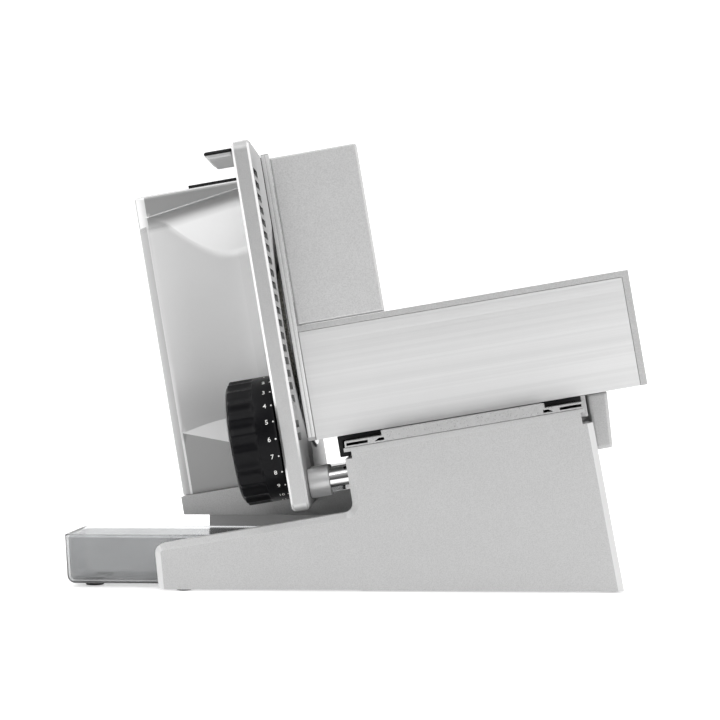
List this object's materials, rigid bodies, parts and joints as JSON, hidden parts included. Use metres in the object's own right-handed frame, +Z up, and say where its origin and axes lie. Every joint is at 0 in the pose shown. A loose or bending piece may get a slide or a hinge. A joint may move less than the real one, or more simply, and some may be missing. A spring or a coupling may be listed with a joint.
{
  "type": "electric food slicer",
  "caption": "Electric food slicer: round blade on a leaning motor housing, sliding food carriage with hand guard, dial-set stop plate, switch rocker and pull-out slice tray.",
  "frame": {"origin": "middle of the footprint, on the table", "axes": "+Z up; -Y towards the user, who sees the food carriage on the right; +X along the carriage, away from the dial"},
  "size_m": [0.3876, 0.227, 0.2975],
  "materials": {
    "silver_paint": "fine metallic silver paint",
    "brushed_steel": "brushed stainless steel",
    "chrome": "bright chrome",
    "aluminium": "plain satin aluminium",
    "brass": "plain brass",
    "black_plastic": "matt black plastic",
    "white_plastic": "natural white plastic",
    "smoky_plastic": "clear smoky plastic",
    "black_rubber": "matt black rubber"
  },
  "bodies": {
    "base": {"base_housing": "silver_paint", "blade_axle": "brushed_steel", "bottom_cover": "black_plastic", "bottom_screw_1": "brushed_steel", "bottom_screw_2": "brushed_steel", "bottom_screw_3": "brushed_steel", "bottom_screw_4": "brushed_steel", "carriage_rail": "aluminium", "cord_gland": "black_rubber", "drive_plate": "silver_paint", "foot_front_left": "black_rubber", "foot_front_right": "black_rubber", "foot_rear_left": "black_rubber", "foot_rear_right": "black_rubber", "gearbox_case": "aluminium", "housing_screw_1": "brushed_steel", "housing_screw_2": "brushed_steel", "motor_can": "brushed_steel", "motor_housing": "silver_paint", "rod_bracket": "aluminium", "rod_bush_front": "black_plastic", "rod_bush_rear": "black_plastic", "spindle_nut": "brass", "switch_body": "white_plastic"},
    "tray": {"slice_tray": "smoky_plastic", "tray_foot_front_left": "black_rubber", "tray_foot_rear_left": "black_rubber", "tray_foot_front_right": "black_rubber", "tray_foot_rear_right": "black_rubber"},
    "carriage": {"carriage_frame": "silver_paint", "carriage_panel": "brushed_steel", "carriage_floor": "brushed_steel", "hand_guard": "silver_paint", "glide_left": "black_plastic", "glide_right": "black_plastic", "carriage_hook": "aluminium", "carriage_pull": "silver_paint"},
    "blade": {"blade": "brushed_steel", "blade_gear": "white_plastic", "blade_cap": "black_plastic", "hub_bush": "brass", "blade_screw_1": "brushed_steel", "blade_screw_2": "brushed_steel", "blade_screw_3": "brushed_steel"},
    "pinion": {"drive_pinion": "brushed_steel"},
    "stop": {"stop_plate": "silver_paint", "gear_cover": "aluminium", "guide_rod_front": "chrome", "guide_rod_rear": "chrome", "stop_grip": "silver_paint", "stop_grip_pad": "black_rubber", "rod_collar_front": "aluminium", "rod_collar_rear": "aluminium"},
    "dial": {"thickness_dial": "black_plastic", "dial_rim": "silver_paint", "dial_gear": "white_plastic"},
    "spindle": {"lead_spindle": "brushed_steel"},
    "rocker": {"switch_rocker": "black_plastic"}
  },
  "joints": [
    {"name": "tray_slide", "type": "slide", "parent": "base", "child": "tray", "axis": [-1, 0, 0], "range_m": [0, 0.19]},
    {"name": "carriage_slide", "type": "slide", "parent": "base", "child": "carriage", "axis": [0, 1, 0], "range_m": [-0.09, 0.1]},
    {"name": "blade_spin", "type": "hinge", "parent": "base", "child": "blade", "pos_m": [-0.04676, 0.0235, 0.17451], "axis": [0.986, 0, 0.1668], "continuous": true},
    {"name": "pinion_spin", "type": "hinge", "parent": "base", "child": "pinion", "pos_m": [-0.05434, 0.04975, 0.21934], "axis": [0.986, 0, 0.1668], "continuous": true},
    {"name": "dial_turn", "type": "hinge", "parent": "stop", "child": "dial", "pos_m": [-0.03447, -0.0675, 0.10184], "axis": [-0.986, 0, -0.1668], "range_deg": [-46.97, 297.4]},
    {"name": "stop_slide", "type": "slide", "parent": "base", "child": "stop", "axis": [-0.986, 0, -0.1668], "range_m": [-0.003, 0.019]},
    {"name": "spindle_turn", "type": "hinge", "parent": "stop", "child": "spindle", "pos_m": [-0.02878, -0.0755, 0.06822], "axis": [-0.986, 0, -0.1668], "range_deg": [-744, 118]},
    {"name": "rocker_tilt", "type": "hinge", "parent": "base", "child": "rocker", "pos_m": [-0.10687, 0.011, 0.27205], "axis": [0, 1, 0], "range_deg": [-5, 5], "stiffness_Nm_per_rad": 1}
  ],
  "couplings": [
    {"joint": "pinion_spin", "follows": "blade_spin", "ratio": -6},
    {"joint": "dial_turn", "follows": "stop_slide", "rad_per_m": 273.18},
    {"joint": "spindle_turn", "follows": "stop_slide", "rad_per_m": -682.96}
  ]
}
